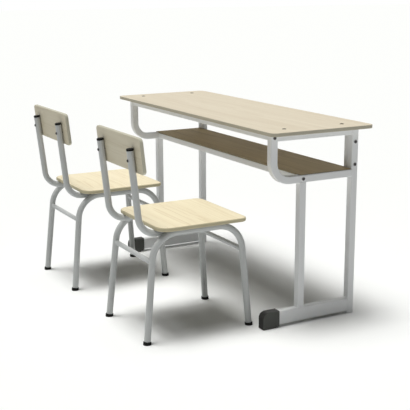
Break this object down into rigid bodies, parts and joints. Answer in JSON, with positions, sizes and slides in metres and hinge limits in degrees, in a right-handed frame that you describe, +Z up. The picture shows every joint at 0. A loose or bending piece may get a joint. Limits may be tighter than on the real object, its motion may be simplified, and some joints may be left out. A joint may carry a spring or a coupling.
{
  "type": "school desk with chairs",
  "caption": "Double school desk with an open book shelf in a square-tube frame, and matching chairs with plywood seats and backrests on bent round tubes.",
  "frame": {"origin": "on the floor, under the middle of the set's bounding box", "axes": "+X along the desk's length, +Y from the chairs towards the desk and the sitters' view, +Z up"},
  "size_m": [1.2, 0.8246, 0.6678],
  "materials": {
    "desk_board": "clear satin lacquer",
    "chair_board": "clear satin lacquer",
    "frame": "satin powder coat",
    "plug_and_foot": "moulded, satin",
    "foot_cap": "moulded, matt",
    "fastener": "dark zinc plated"
  },
  "bodies": {
    "desk": {"left_top_rail_bolt": "fastener", "left_shelf_rail_bolt": "fastener", "left_upper_post_bolt": "fastener", "left_lower_post_bolt": "fastener", "right_top_rail_bolt": "fastener", "right_shelf_rail_bolt": "fastener", "right_upper_post_bolt": "fastener", "right_lower_post_bolt": "fastener", "left_front_desktop_screw": "fastener", "left_rear_desktop_screw": "fastener", "right_front_desktop_screw": "fastener", "right_rear_desktop_screw": "fastener", "desktop": "desk_board", "left_side_tube": "frame", "left_rear_leg": "frame", "left_front_leg": "frame", "left_foot_tube": "frame", "left_foot_cap": "foot_cap", "right_side_tube": "frame", "right_rear_leg": "frame", "right_front_leg": "frame", "right_foot_tube": "frame", "right_foot_cap": "foot_cap", "front_top_rail": "frame", "front_shelf_rail": "frame", "rear_frame": "frame", "shelf_board": "desk_board"},
    "left_chair": {"left_chair_left_leg_loop": "frame", "left_chair_left_backrest_bolt": "fastener", "left_chair_left_upright": "frame", "left_chair_left_upright_plug": "plug_and_foot", "left_chair_right_leg_loop": "frame", "left_chair_right_backrest_bolt": "fastener", "left_chair_right_upright": "frame", "left_chair_right_upright_plug": "plug_and_foot", "left_chair_seat": "chair_board", "left_chair_backrest": "chair_board", "left_chair_rear_stretcher": "frame", "left_chair_front_stretcher": "frame", "left_chair_left_rear_foot": "plug_and_foot", "left_chair_left_front_foot": "plug_and_foot", "left_chair_right_rear_foot": "plug_and_foot", "left_chair_right_front_foot": "plug_and_foot"},
    "right_chair": {"right_chair_left_leg_loop": "frame", "right_chair_left_backrest_bolt": "fastener", "right_chair_left_upright": "frame", "right_chair_left_upright_plug": "plug_and_foot", "right_chair_right_leg_loop": "frame", "right_chair_right_backrest_bolt": "fastener", "right_chair_right_upright": "frame", "right_chair_right_upright_plug": "plug_and_foot", "right_chair_seat": "chair_board", "right_chair_backrest": "chair_board", "right_chair_rear_stretcher": "frame", "right_chair_front_stretcher": "frame", "right_chair_left_rear_foot": "plug_and_foot", "right_chair_left_front_foot": "plug_and_foot", "right_chair_right_rear_foot": "plug_and_foot", "right_chair_right_front_foot": "plug_and_foot"}
  },
  "joints": [
    {"name": "left_chair_slide", "type": "slide", "parent": "desk", "child": "left_chair", "axis": [0, 1, 0], "range_m": [-0.3, 0.37]},
    {"name": "right_chair_slide", "type": "slide", "parent": "desk", "child": "right_chair", "axis": [0, 1, 0], "range_m": [-0.3, 0.37]}
  ]
}
